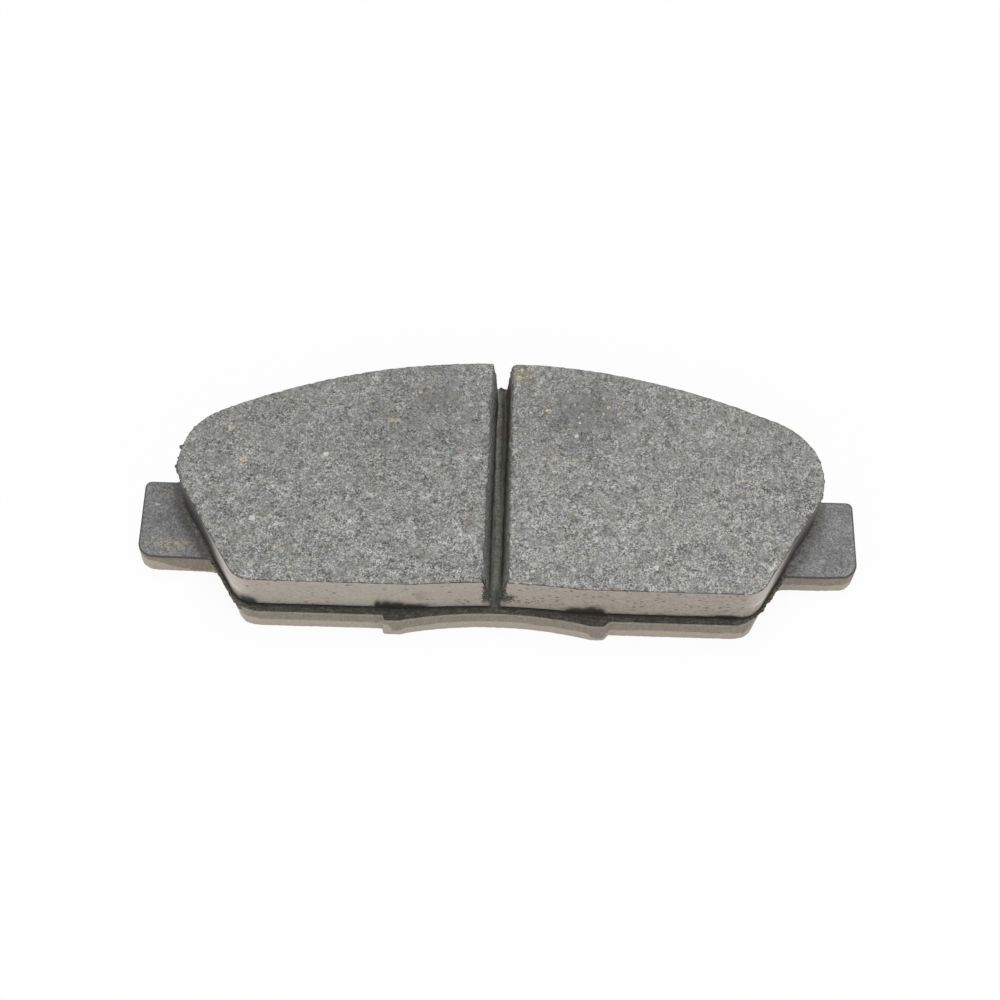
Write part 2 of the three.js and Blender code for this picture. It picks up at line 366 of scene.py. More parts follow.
class Look(Nodes):
    """A procedural material. Sizes and places are in millimetres, in the pad's frame. A shade is a colour
    socket or six hex digits."""

    def __init__(self, name, roughness, specular):
        self.material = bpy.data.materials.new(name)
        self.material.use_nodes = True
        super().__init__(self.material.node_tree)
        self.shader = self.tree.nodes["Principled BSDF"]
        self.shader.inputs["Roughness"].default_value = roughness
        self.shader.inputs["Specular IOR Level"].default_value = specular
        self.shade = None
        self.place = self.vector("MULTIPLY", self.node("TexCoord").outputs["Object"], (1 / MM,) * 3)
        split = self.node("SeparateXYZ")
        self.put(split.inputs[0], self.place)
        self.axes = split.outputs

    def vector(self, operation, *values):
        node = self.node("VectorMath")
        node.operation = operation
        for socket, value in zip(node.inputs, values):
            self.put(socket, value)
        return node.outputs["Value" if operation == "LENGTH" else "Vector"]

    def total(self, base, *terms):
        """The base, plus each (value, weight) term's weight times how far its value is above 0.5."""
        for value, weight in terms:
            base = self.maths("MULTIPLY_ADD", self.maths("SUBTRACT", value, 0.5), weight, base)
        return base

    def texture(self, kind, size, stretch, shift):
        """A texture node whose waves or cells are longer along an axis that is stretched."""
        node = self.node(kind)
        place = self.vector("DIVIDE", self.place, stretch)
        self.put(node.inputs["Vector"], self.vector("ADD", place, (shift, shift, shift)))
        node.inputs["Scale"].default_value = 1 / size
        return node

    def noise(self, size, detail=2, stretch=(1, 1, 1), shift=0, roughness=0.5):
        """Soft noise from 0 to 1."""
        node = self.texture("TexNoise", size, stretch, shift)
        node.inputs["Detail"].default_value = detail
        node.inputs["Roughness"].default_value = roughness
        return node.outputs[0]

    def cells(self, size, stretch=(1, 1, 1), shift=0):
        """Distance to the nearest centre, and a random value for each cell."""
        node = self.texture("TexVoronoi", size, stretch, shift)
        split = self.node("SeparateColor")
        self.put(split.inputs[0], node.outputs["Color"])
        return node.outputs["Distance"], split.outputs[0]

    def grains(self, size, reach, share, shift, ragged=0.5):
        """1 on scattered round grains, in a share of the cells. Reach is their radius in cells."""
        near, kind = self.cells(size, shift=shift)
        near = self.ease(self.total(near, (ragged, 0.4)), reach * 0.5, reach, 1, 0)
        return self.times(near, self.ease(kind, 1 - share, 1 - share * 0.6))

    def near(self, centre, radius, edge=0.9):
        """1 around a place and 0 away from it. Radius may differ along each axis, and edge is the share
        of it over which the value falls."""
        offset = self.vector("DIVIDE", self.vector("SUBTRACT", self.place, centre), radius)
        return self.ease(self.vector("LENGTH", offset), 1 - edge, 1, 1, 0)

    def value(self, name):
        """A value that is stored on the mesh's points."""
        node = self.node("Attribute")
        node.attribute_name = name
        return node.outputs["Fac"]

    def ramp(self, value, *stops):
        """Shades between stops, each a position and six hex digits."""
        node = self.node("ValToRGB")
        elements = node.color_ramp.elements
        while len(elements) < len(stops):
            elements.new(0.5)
        for element, (position, levels) in zip(elements, stops):
            element.position = position
            element.color = colour(levels)
        self.put(node.inputs[0], value)
        return node.outputs[0]

    def mix(self, mask, a, b, blend="MIX"):
        """Shade a where the mask is 0, and shade b where it is 1."""
        node = self.node("Mix")
        node.data_type = "RGBA"
        node.blend_type = blend
        self.put(node.inputs["Factor"], mask)
        for name, shade in (("A", a), ("B", b)):
            socket = [s for s in node.inputs if s.name == name and s.type == "RGBA"][0]
            self.put(socket, colour(shade) if isinstance(shade, str) else shade)
        return [s for s in node.outputs if s.type == "RGBA"][0]

    def coat(self, mask, shade, strength=1):
        """Lays a shade over the look so far where the mask is 1."""
        mask = mask if strength == 1 else self.times(mask, strength)
        self.shade = self.mix(mask, self.shade, shade)

    def finish(self, bump, height):
        """Sets the shade, and a bump whose height is in millimetres."""
        self.put(self.shader.inputs["Base Color"], self.shade)
        node = self.node("Bump")
        node.inputs["Distance"].default_value = height * MM
        self.put(node.inputs["Height"], bump)
        self.put(self.shader.inputs["Normal"], node.outputs[0])
        return self.material


# Places on the ground face, as x, y and reach: calm patches, duller areas, and single grains
CALM = ((18.4, 16.9, (11, 8)), (-13.3, 18.2, (8.5, 5.5)))
DULL = ((-20, 12, (24, 17)), (15, 13, (18, 15)))
TAN_GRAINS = ((-53.4, 2.2, (1.6, 1.2)), (-56.6, 9.9, 1.1), (-46.8, -11, 0.8), (-45.1, -17.9, 0.8),
              (-23.3, 12.9, 0.9), (-22.1, 16, 0.6), (-17.4, 20.1, 0.8), (9.6, 16.4, (1.3, 0.8)),
              (3.8, 26.2, (1.2, 0.8)), (6.2, 26.6, 0.6), (3.5, 24.4, 1.1), (22.5, 17.5, 0.8),
              (26.5, 17.5, 0.5), (30.4, -5.5, 0.8), (50.4, 0.7, 0.8))
# Pale grains; the one at (18.5, -1) is a painted glint
PALE_GRAINS = ((-50.5, -11.6, 1.1), (-36.4, 4.1, (1, 0.9)), (18.5, -1, 0.7), (31.9, -20.1, 0.9),
               (-30.6, -11.6, 0.8), (3, -25.1, 0.7), (15.7, 10.3, 0.8), (16.3, 13.6, 0.5))
RED_GRAINS = ((-7.1, -11.2, 0.8), (-8.3, 5.9, 0.7), (11.7, 4.4, 0.6), (16, -18.7, 0.7),
              (23.7, -25.3, (1, 0.6)))

# Resin that rose up the blocks' front wall from its foot, as x, and reach along x and z
FLAMES = ((-24.3, 1.6, 5.2), (-22.6, 3, 5), (-20.4, 4.2, 4.4), (-17.6, 6.4, 3.3),
          (16.6, 4.8, 4.2), (19.4, 3.8, 5.4), (21, 2.2, 4.4), (-51, 3.6, 5.4),
          (-54.6, 4, 5), (47, 6, 1.8))


def speckled(look, dark, middle, light, calm=0, dull_and_shade=0):
    """The pressed mix's mottle of pale, dark and faintly tinted grains. Gives its height."""
    y = look.axes[1]
    soft = look.total(0.5, (look.noise(0.5, shift=3), 0.4), (look.noise(2.6, detail=1, shift=5), 0.27),
                      (look.cells(1.1, shift=11)[1], 0.15), (look.cells(0.6, shift=7)[1], 0.17))
    level = look.total(soft, (look.cells(0.25)[1], 0.53))
    rough = look.ease(look.noise(3.4, detail=1, shift=37), 0.35, 0.65, 0.75, 1.22)
    kept = look.times(look.ease(calm, 0, 1, 1, 0.65), rough, look.ease(y, -6, 12, 1, 0.84))
    level = look.maths("MULTIPLY_ADD", look.maths("SUBTRACT", level, 0.5), kept, 0.5)
    level = look.maths("SUBTRACT", level, look.total(0.095, (calm, 0.07), (dull_and_shade, 0.1)))
    look.shade = look.ramp(level, (0.08, dark), (0.5, middle), (0.92, light))
    tint = look.ramp(look.noise(1.3, detail=3, shift=17), (0.36, "929386"), (0.64, "8f8d92"))
    look.shade = look.mix(0.5, look.shade, tint, "COLOR")
    ragged = look.noise(0.4, detail=1, shift=19)
    for size, reach, share, shift, strength, grain in (
            (1.7, 0.4, 0.12, 41, 0.5, "5c5e57"), (1.6, 0.27, 0.14, 33, 0.6, "c8c9c6"),
            (0.85, 0.4, 0.14, 43, 0.55, "545650"), (0.8, 0.3, 0.14, 31, 0.75, "d2d3d0"),
            (2.2, 0.24, 0.1, 13, 0.65, "beb8a0")):
        look.coat(look.grains(size, reach, share, shift, ragged), grain, strength)
    return soft


def friction_ground():
    look = Look("friction_ground", roughness=0.85, specular=0.3)
    x, y, _ = look.axes

    def patches(places, depth=5, edge=0.85):
        return look.most(*[look.near((x, y, FACE_Z), (*np.broadcast_to(reach, 2).tolist(), depth), edge)
                           for x, y, reach in places])

    def single_grains(places, shade, strength):
        mask = look.total(patches(places, 1, 1), (look.noise(0.35, detail=1, shift=47), 0.7))
        look.coat(look.ease(mask, 0.3, 0.55, 0, strength), shade)

    # Painted shade: the face darker towards the far end and towards the left, joined with the duller areas
    far = look.times(look.ease(y, -14, 8), 0.3)
    left = look.times(look.ease(x, 10, -10), 0.3)
    dull_and_shade = look.most(patches(DULL, 9), look.maths("ADD", far, left))
    height = speckled(look, "4a4b47", "90918d", "d0d1ce", patches(CALM), dull_and_shade)
    look.coat(look.value("pit"), "4a4b44", 0.65)
    crumbled = look.total(look.value("brink"), (look.noise(0.6, shift=35), 1.6))
    look.coat(look.ease(crumbled, 0.55, 0.8, 0, 0.65), "50524c")
    look.coat(look.near((3.6, 25, FACE_Z), (5, 3.6, 5)), "8a7e6c", 0.35)
    tan = look.ramp(look.cells(0.35, shift=23)[1], (0.1, "927e66"), (0.6, "c0b296"),
                    (1, "e0d8c2"))
    single_grains(TAN_GRAINS, tan, 0.75)
    single_grains(PALE_GRAINS, "dadbd2", 0.7)
    single_grains(RED_GRAINS, "a0806e", 0.5)
    return look.finish(height, 0.05)


def dark_mix(name, roughness, specular, height, *shades):
    look = Look(name, roughness, specular)
    return look.finish(speckled(look, *shades), height)


def friction_wall():
    """The blocks' moulded sides: smooth and beige in front with level streaks and pits, black at the foot
    with resin and painted shade, black with resin round the slot, and dark on the slanting sides with
    painted shade. A painted highlight lies at the lower corners, and painted shade darkens the front
    towards the right."""
    look = Look("friction_wall", roughness=0.6, specular=0.3)
    x, y, z = look.axes
    streak = look.noise(0.3, detail=3, stretch=(3.5, 3.5, 1), shift=2, roughness=0.65)
    cloud = look.noise(5, shift=9)
    ragged = look.noise(0.8, detail=3, shift=14, roughness=0.65)
    fine = look.cells(0.28, shift=21)[1]
    # Painted shade: the ease on x makes the front darker towards the right
    level = look.total(streak, (fine, 0.26), (cloud, 0.1), (look.ease(x, -30, 30), -0.12))
    look.shade = look.ramp(level, (0.25, "92897e"), (0.5, "aaa196"), (0.8, "b8b1a7"))
    look.coat(look.near((-15.6, FRONT_Y, 12), (2, 3, 3.4)), "806c5e", 0.35)
    # Fine level pits, in clusters, with more of them on the right block
    near, kind = look.cells(0.52, stretch=(2.8, 2.8, 1.2), shift=4)
    crowd = look.total(kind, (look.noise(4, detail=1, shift=27), 0.6), (look.ease(x, -4, 4), 0.18),
                       (look.ease(x, 36, 48), 0.1))
    pit = look.times(look.ease(near, 0.16, 0.38, 1, 0), look.ease(crowd, 0.7, 0.79))
    beside = look.most(look.near((7.5, FRONT_Y, 9.3), (6.5, 3, 1.4), edge=0.4),
                       look.near((-6, FRONT_Y, 8.9), (4.4, 3, 1), edge=0.4))
    pit = look.most(pit, look.times(beside, look.grains(0.6, 0.55, 0.5, 45, ragged)))
    look.coat(pit, "42342d", 0.85)
    # A painted highlight, a pale sheen at the lower corners, then the slanting sides darkened with painted
    # shade
    out = look.maths("ABSOLUTE", x)
    painted_sheen = look.times(look.ease(out, 49.5, 53), look.ease(z, 8, 12, 0, 0.4))
    strip = look.times(look.ease(out, 51.2, 53.4), look.ease(out, 57, 55.2),
                       look.ease(z, 9.4, 11, 0, 0.85))
    painted_sheen = look.most(painted_sheen, look.times(strip, look.ease(z, 10.5, 14, 1, 0.4)))
    look.coat(look.times(painted_sheen, look.total(1, (cloud, 1), (streak, 0.9))), "dad2cc")
    # Painted shade: the slanting sides dark, lighter up the wall and on the right block, less dark far back
    rise = look.total(look.maths("MULTIPLY_ADD", z, 0.1, -0.7), (cloud, 0.2),
                      (look.ease(x, -1, 1), 0.3))
    side = look.ramp(rise, (0, "2a292b"), (0.35, "3a393c"), (0.7, "4c4a4a"),
                     (0.97, "66625c"))
    side_shade = look.ease(look.total(y, (cloud, 5), (z, -0.5)), -28.5, -18.5)
    look.coat(look.times(side_shade, look.ease(y, 6, 20, 1, 0.6)), side)
    # Resin and painted shade at the foot, resin in flames above it, and crumbs round the slot's near end
    low = look.maths("MULTIPLY_ADD", look.ease(out, 51, 55), -1.3, z)
    low = look.maths("MULTIPLY_ADD", look.ease(out, 16, 9), 1.5, low)
    foot = look.ease(look.total(low, (cloud, 0.7), (ragged, 1.6)), 5.7, 7.4, 1, 0)
    flames = look.most(*[look.near((x, FRONT_Y, UNDERLAYER_Z), (across, 4.6, up), edge=1)
                         for x, across, up in FLAMES])
    flames = look.ease(look.times(flames, look.total(1.05, (ragged, 0.9))), 0, 0.75)
    mouth = look.times(look.ease(x, -3.9, -2.3), look.ease(x, 2.4, 1))
    mouth = look.most(mouth, look.near((1.8, FRONT_Y, 10), (3.9, 3, 5.2), edge=1))
    crumb = look.cells(0.42, shift=26)[1]
    mouth = look.ease(look.total(mouth, (ragged, 0.9), (crumb, 0.5)), 0.4, 0.6)
    mouth = look.times(mouth, look.ease(look.total(z, (crumb, 1.4)), 7.6, 9.6, 0.25, 1),
                       look.ease(look.total(z, (crumb, 1.2)), 15.4, 16.4, 1, 0))
    look.coat(look.most(foot, flames), "32312e")
    look.coat(mouth, look.ramp(crumb, (0, "20201d"), (0.7, "383833"), (1, "606059")))
    return look.finish(streak, 0.03)


def slot_wall():
    look = Look("slot_wall", roughness=0.8, specular=0.2)
    x, y, z = look.axes
    grain = look.noise(0.5, detail=3, stretch=(1, 2, 1), shift=6)
    level = look.total(grain, (look.cells(0.45, shift=29)[1], 0.35))
    look.shade = look.ramp(level, (0.3, "585954"), (0.7, "767770"))
    high = look.ramp(level, (0.3, "62635e"), (0.7, "8c8d88"))
    look.coat(look.ease(look.total(z, (level, 4)), 10.5, 14.5), high)
    # Painted light: the walls' foot is painted far paler, lifting the shade deep in the slot, most on the
    # right wall towards the front
    right = look.ease(x, 0, 1)
    foot = look.mix(look.times(right, look.ease(y, 6, -6)), "b8b8ae", "e2e2d6")
    look.coat(look.ease(z, 8.8, 6.5, 0, 0.88), foot)
    look.coat(look.times(look.ease(y, 16, 26), right), "7a6c5e", 0.5)
    look.coat(look.ease(look.total(y, (level, 4)), -25, -22.5, 0.9, 0), "2e2e2a")
    return look.finish(grain, 0.05)


def flash_resin():
    """The resin: granular brown over the plate, darkened at the wall's foot with painted shade, and paler
    along the slot, with painted light in its corners and a painted shadow beside its right wall.
    """
    look = Look("flash_resin", roughness=0.75, specular=0.2)
    x, y, _ = look.axes
    near, kind = look.cells(0.27, stretch=(1.5, 1, 1))
    crust = look.noise(0.45, detail=3, stretch=(5, 1, 1), shift=8, roughness=0.65)
    look.shade = look.ramp(look.total(0.56, (kind, 0.4), (crust, 1.3)), (0.1, "302f2c"),
                           (0.65, "504d47"), (1, "767168"))
    brown = look.noise(1.2, shift=8)
    sides = look.ease(look.maths("ABSOLUTE", x), 47, 54)
    by_ear = look.ease(y, -17, -12)
    granular = look.ramp(kind, (0.1, "42413b"), (0.9, "767367"))
    dusty = look.ramp(look.total(kind, (brown, 1.5)), (0.1, "5a5854"), (0.9, "86837c"))
    look.coat(sides, look.mix(by_ear, granular, dusty))
    rim = look.times(look.value("rim"), sides, look.maths("SUBTRACT", 1, by_ear))
    fringe = look.ramp(kind, (0.1, "4e4b3e"), (0.9, "827c68"))
    look.coat(look.times(look.ease(brown, 0.3, 0.6, 0.3, 0.8), rim), fringe)
    # Painted shade in the crease at the wall's foot, less of it on the sides by the ears
    root = look.ease(look.times(sides, by_ear), 0, 1, 0.8, 0.3)
    look.coat(look.times(look.value("root"), root), "32312e")
    # The slot's floor
    grit = look.total(kind, (look.noise(1.4, shift=18), 1))
    valley = look.ramp(grit, (0.1, "585852"), (0.9, "74756e"))
    crest = look.ramp(grit, (0.1, "808078"), (0.9, "a6a79d"))
    ridge = look.times(look.value("ridge"), look.ease(y, 21, 26, 1, 0.4))
    floor = look.mix(ridge, valley, crest)
    # A painted shadow of the right wall on the floor's right part, towards the far end
    beside = look.times(look.ease(x, -0.2, 0.6), look.ease(y, 0, 8))
    floor = look.mix(look.times(beside, 0.7), floor, "42423d")
    # Painted light: the floor's corners by the walls painted pale, lifting their shade
    corner = look.times(look.value("corner"), look.ease(beside, 0, 1, 0.85, 0.3),
                        look.ease(y, 0, 8, 0.35, 1))
    floor = look.mix(corner, floor, "ccccc1")
    floor = look.mix(look.ease(y, -20.5, -23, 0, 0.7), floor, "585852")
    rust = look.near((-0.2, 17, UNDERLAYER_Z), (1.4, 2.6, 2))
    floor = look.mix(look.times(rust, 0.5), floor, "705c50")
    look.coat(look.value("floor"), floor)
    return look.finish(near, 0.045)


def plate_paint():
    """Matte dark paint with a fine tooth and pale specks: painted light on the right ear, smeared on the
    left.
    """
    look = Look("plate_paint", roughness=0.55, specular=0.4)
    x, y, z = look.axes
    tooth = look.cells(0.26, shift=3)[1]
    mottle = look.noise(0.8, detail=3, shift=12, roughness=0.6)
    cloud = look.noise(7, shift=22)
    # The ease on x is painted light, lighter towards the right ear
    level = look.total(0.48, (tooth, 0.55), (mottle, 0.8), (cloud, 0.5), (look.ease(x, -20, 20), 0.1))
    look.shade = look.ramp(level, (0.1, "545556"), (0.5, "7a7a7a"), (0.9, "a2a2a1"))
    look.coat(look.grains(1, 0.26, 0.13, 15), "babab8", 0.75)
    worn = look.ease(look.total(0.5, (mottle, 2), (tooth, 0.8)), 0.2, 0.7)
    smear = look.most(look.near((-68.3, -12.4, FILM_Z), (6.6, 2.1, 2)),
                      look.times(look.near((-70.6, -0.3, FILM_Z), (3.4, 1.6, 2), edge=1), 0.6))
    look.coat(look.times(worn, smear), "a89e8a", 0.8)
    look.coat(look.near((-72, -3, FILM_Z), (0.9, 0.4, 1), edge=0.8), "c8c8c6", 0.7)
    # Resin dust and painted shadow of the blocks, beside them on the ears: how far out from the flash's
    # straight side, or from its end
    out = look.maths("ABSOLUTE", x)
    gap = look.maths("MULTIPLY_ADD", out, 0.86, -59.53)
    gap = look.maths("MULTIPLY_ADD", y, -0.51, gap)
    gap = look.most(gap, look.maths("SUBTRACT", out, 67.4))
    dust_and_shadow = look.ease(look.total(gap, (mottle, 3)), 2.4, 0.3, 0, look.ease(x, -1, 1, 0.6, 0.4))
    look.coat(look.times(dust_and_shadow, look.ease(z, 3, 5)), "484744")
    return look.finish(look.total(0.5, (tooth, 0.5), (mottle, 1)), 0.03)


def plate_side():
    """The stamped edge: a darker sheared band over a paler, rougher fracture band."""
    look = Look("plate_side", roughness=0.55, specular=0.4)
    scratch = look.noise(0.7, stretch=(1, 1, 5), shift=3)
    grain = look.noise(0.4, detail=3, shift=5, roughness=0.65)
    sheared = look.total(0.5, (scratch, 0.6), (grain, 1.3))
    look.shade = look.ramp(sheared, (0.3, "71695e"), (0.7, "908678"))
    broken = look.ramp(grain, (0.3, "9b9182"), (0.7, "b8ad9e"))
    look.coat(look.value("fracture"), broken)
    return look.finish(look.total(0.5, (scratch, 0.4), (grain, 1)), 0.02)


def edge_paint():
    """The rolled edge: a black line round the ears, and a pale painted highlight in front under the flash.
    """
    look = Look("edge_paint", roughness=0.5, specular=0.5)
    y = look.axes[1]
    grain = look.noise(0.5)
    # The pale shade is a painted highlight along the front
    look.shade = look.ramp(grain, (0.3, "7c766b"), (0.7, "968f83"))
    black = look.ramp(grain, (0.3, "302e2b"), (0.7, "4e4a45"))
    look.coat(look.ease(y, -21, -18), black)
    return look.finish(grain, 0.02)


# The friction blocks and their underlayers

OUTLINE_STEP = 0.4
FACE_STEP = 0.34
HOLE_STEP = 0.6
SLOT_REACH = 6.0  # how far from the slot its walls' slant moves the outline

# Crumbs at the left shoulder, as y, reach along y, and how far out
SHOULDER_CRUMBS = ((5.3, 0.7, 1.1), (1.2, 1.2, 0.8), (-0.2, 0.7, 0.6))
BLOCK_LEVELS = (*np.linspace(BLOCK_Z, FACE_Z - 0.9, 16), FACE_Z - 0.6, FACE_Z - 0.4)
# Rings round the face's rim, as how far in and down, and how much further at a chip
RIM_RINGS = ((0, 0.2, 0.1, 0.14), (0.08, 0.07, 0.28, 0.12), (0.2, 0, 0.42, 0.05))
# The underlayers' rings, as height and how far in, and the keys' rings, as height and radius
FOOT_RINGS = ((UNDERLAYER_Z, 0.1), (6.45, 0.04), (6.65, -0.02), (6.9, 0), (7.2, 0), (BLOCK_Z, 0))
KEY_RINGS = ((UNDERLAYER_Z, 4.7), (2.6, 4.7), (KEY_Z + 0.3, 5.0), (KEY_Z, 4.8))
KEY_END_RADIUS = 4.4


def slot_shift(y, z, side):
    """How far to +X the slot's wall at a height stands from the foot of the CAD's wall."""
    lean = 0.3 * min(1, (z - UNDERLAYER_Z) / (MOUTH_Z - UNDERLAYER_Z))
    flare = 0.65 * max(0, z - MOUTH_Z) / (FACE_Z - MOUTH_Z)
    far = ease(y, -20, 28)
    bend = (0.3 + 0.3 * far if side < 0 else 0.6 * far) - 0.32 * ease(y, 23, 27.5)
    bend -= 0.45 * (FACE_Z - z) / (FACE_Z - UNDERLAYER_Z) if side > 0 else 0
    swing = 0.4 * ease(y, 16, 25) - 0.42 * ease(y, 6, -8) - 0.25 * ease(y, -20, -25) if side < 0 else -0.1
    low = min(1, (FACE_Z - z) / (FACE_Z - MOUTH_Z))
    return side * (lean + flare) + bend * low + swing * (1 - 0.6 * low)


def ring_at(base, side, z):
    """The blocks' outline at a height, its slot wall moved as the slot widens and bends."""
    x, y = base.T
    slot_x = x.min() if side > 0 else x.max()
    fade = np.clip(1 - np.abs(x - slot_x) / SLOT_REACH, 0, 1)
    shifted = base.copy()
    shifted[:, 0] += fade * slot_shift(y, z, side)
    return shifted


def wall_relief(points, on_slot):
    """How far the moulded wall stands out: level streaks, a few pits, crumbs and rough shoulders."""
    x, y, z = points.T
    streak = soft_noise(points, (3, 3, 0.5), 11) * 0.02 + soft_noise(points, (1, 1, 0.35), 12) * 0.012
    pit = clumps(points, (1.6, 1.6, 0.8), 20, 0.86, 0.34, 0.16) * 0.12
    rough = soft_noise(points, 0.55, 30) * 0.09 + soft_noise(points, 1.6, 31) * 0.05
    shoulder = ease(z, 14.6, 16.6) * ease(y, -8, 4)
    right_shoulder = ease(x, 52, 62) * ease(y, -12, 0) * 0.22
    crumbs = clumps(points, 0.9, 35, 0.7) * 0.35
    tips = ease(np.abs(x), 62, 66) * ease(z, 12, 15)
    relief = streak - pit + rough * shoulder * 0.8 + crumbs * tips + right_shoulder
    arc = 0.19 * ease(x, 2, 12) * ease(x, 62, 57) - 0.28 * ease(-x, 20, 55)
    relief += arc * ease(y, -2, 6)
    for row, reach, out in SHOULDER_CRUMBS:
        burr = ease(np.hypot((y - row) / reach, (z - 15.6) / 1.1), 1, 0.3) * (x < -60)
        relief += out * burr * (0.7 + 0.5 * soft_noise(points, 0.5, 36))
    rough_slot = soft_noise(points, (0.9, 1.6, 0.9), 33) * 0.08 + soft_noise(points, 0.55, 34) * 0.1
    rough_slot += clumps(points, 1, 38, 0.6) * 0.22 * ease(z, 13, 16)
    slot_end = ease(y, -21, -24.5) * ease(z, 16.5, 14)
    rough_slot += slot_end * clumps(points, 0.8, 37, 0.5, 0.6) * 0.3
    return np.where(on_slot, rough_slot, relief)


def block_base(hand):
    """The block's closely sampled outline at its foot, which of its points are on the slot's wall, and
    the two corners there."""
    side = SIDES[hand]
    loop = cap_loops(f"underlayer_{hand}", UNDERLAYER_Z)[0]
    slot_x = loop[:, 0].min() if side > 0 else loop[:, 0].max()
    wall_y = loop[np.abs(loop[:, 0] - slot_x) < 0.01, 1]
    corners = np.array([[slot_x, wall_y.max()], [slot_x, wall_y.min()]])
    loop = rounded(loop, corners[0], 1.1 if side > 0 else 0.25)
    loop = rounded(loop, corners[1], 0.35)
    base = resampled(loop, OUTLINE_STEP)
    return base, np.abs(base[:, 0] - slot_x) < 0.05, corners


def face_pits(points):
    """Depth, from 0 to 1, of the small pits in the ground face."""
    return clumps(at_height(points[:, :2], FACE_Z), 1.25, 50, 0.62, 0.4, by_value=0.5)


def friction_block(hand):
    side = SIDES[hand]
    base, on_slot, corners = block_base(hand)
    normal = outward(base)
    corner_gap = norm(base[:, None] - corners[None], axis=2).min(axis=1)
    piece = Piece()
    rings = []
    looks = np.where(on_slot & np.roll(on_slot, -1), 2, 1)
    for z in BLOCK_LEVELS:
        ring = at_height(ring_at(base, side, z), z)
        ring[:, :2] += normal * wall_relief(ring, on_slot)[:, None]
        rings.append(piece.add(ring))
    rim = at_height(ring_at(base, side, FACE_Z), FACE_Z)
    relief = wall_relief(rim, on_slot)
    chip = clumps(rim, 1.1, 40, 0.6, 0.7, 0.2, by_value=1) * (0.6 + 0.4 * ease(rim[:, 1], 0, -15))
    chip = np.clip(chip + 0.25 * (soft_noise(rim, 0.5, 44) + 0.3), 0, 1)
    for back, drop, bite, fall in RIM_RINGS:
        ring = rim.copy()
        depth = np.minimum(back + bite * chip, 0.1 + 0.45 * corner_gap)
        ring[:, :2] += normal * (relief * (1 - back) - depth)[:, None]
        ring[:, 2] -= drop + fall * chip
        rings.append(piece.add(ring))
    walls = len(BLOCK_LEVELS)
    piece.bands(rings[:walls + 1], looks)
    piece.bands(rings[walls:walls + 2], 3)
    piece.bands(rings[walls + 1:], 0)

    def face_height(points):
        spots = at_height(points, FACE_Z)
        relief = 0.022 * soft_noise(spots, 0.8, 51) + 0.02 * soft_noise(spots, 2.1, 52)
        return FACE_Z - 0.02 + relief - 0.16 * face_pits(points)

    inner = scattered(ring_at(base, side, FACE_Z) - normal * 0.85, FACE_STEP, 60 + side)
    piece.cap([rings[-1]], inner, face_height)
    piece.cap([rings[0]], look=1, up=False)
    points = np.concatenate(piece.points)
    on_face = points[:, 2] > FACE_Z - 0.5
    pit = face_pits(points) * on_face
    brink = ease(gap_to(points[:, :2], rim[on_slot, :2]), 1.0, 0.1) * (1 if side > 0 else 0.55)
    worn = rim[(rim[:, 1] < -20) | (rim[:, 0] < -48), :2]
    left = ease(-points[:, 0], 46, 50)
    worn_gap = gap_to(points[:, :2], worn)
    brink = on_face * np.maximum(brink, (0.5 + 0.22 * left) * ease(worn_gap, 0.9 + 0.5 * left, 0.1))
    materials = [ground, wall, slot_side, edge]
    return piece.make(f"friction_block_{hand}_moulding", materials,
                      [f"friction_block_{hand}"], {"pit": pit, "brink": brink})


def underlayer(hand):
    side = SIDES[hand]
    base, on_slot, _ = block_base(hand)
    normal = outward(base)
    looks = np.where(on_slot & np.roll(on_slot, -1), 1, 0)
    piece = Piece()
    rings = []
    for z, tuck in FOOT_RINGS:
        ring = at_height(ring_at(base, side, z), z)
        foot = tuck * (1 + 0.6 * soft_noise(ring, (2.2, 2.2, 9), 70))
        ring[:, :2] += normal * (wall_relief(ring, on_slot) - np.where(on_slot, 0, foot))[:, None]
        rings.append(piece.add(ring))
    piece.bands(rings, looks)
    piece.cap([rings[-1]])
    key_rings = []
    for loop in cap_loops(f"underlayer_{hand}", KEY_Z):
        middle, shape = spokes(resampled(loop, HOLE_STEP))
        steps = []
        for z, radius in KEY_RINGS:
            ring = at_height(middle + shape * radius, z)
            ring[:, :2] += shape * (soft_noise(ring, 1.2, 75) * 0.06)[:, None]
            steps.append(piece.add(ring))
        piece.bands(steps[::-1], 2)
        spots = scattered(middle + shape * KEY_END_RADIUS, 0.45, 76)
        piece.cap([steps[-1]], spots,
                  lambda p: KEY_Z + 0.06 * soft_noise(at_height(p, 0), 0.9, 77) + 0.08, look=2, up=False)
        key_rings.append(steps[0])
    piece.cap([rings[0], *key_rings], up=False)
    return piece.make(f"underlayer_{hand}_keyed", [wall, slot_side, key],
                      [f"underlayer_{hand}"])


# The bonding film and its flash

FOOT_ENDS = ((-23.27, 0.75), (22.67, 0.15))  # x, and how much steeper than drawn
FLASH_STEP = 0.28
DRIPS = ((-24.2, 1.4, 0.5, 1.1), (-51.8, 2.2, 0.8, 0.9))  # x, half width, half width of the tip, length
FAR_CRUMB = (-0.1, 28.2)


def steep_feet(loop):
    """The plate's outline with the outer ends of its feet nearly upright."""
    loop = loop.copy()
    for x, share in FOOT_ENDS:
        off = loop[:, 0] - x
        at_foot = ease(np.abs(off), 1.2, 0.5) * (loop[:, 1] < -26)
        loop[:, 0] -= share * off * at_foot
    return loop


def lower_edge(loop, x):
    """The outline's lowest y at each x."""
    low = loop[loop[:, 1] < -22]
    low = low[np.argsort(low[:, 0])]
    return np.interp(x, low[:, 0], low[:, 1])


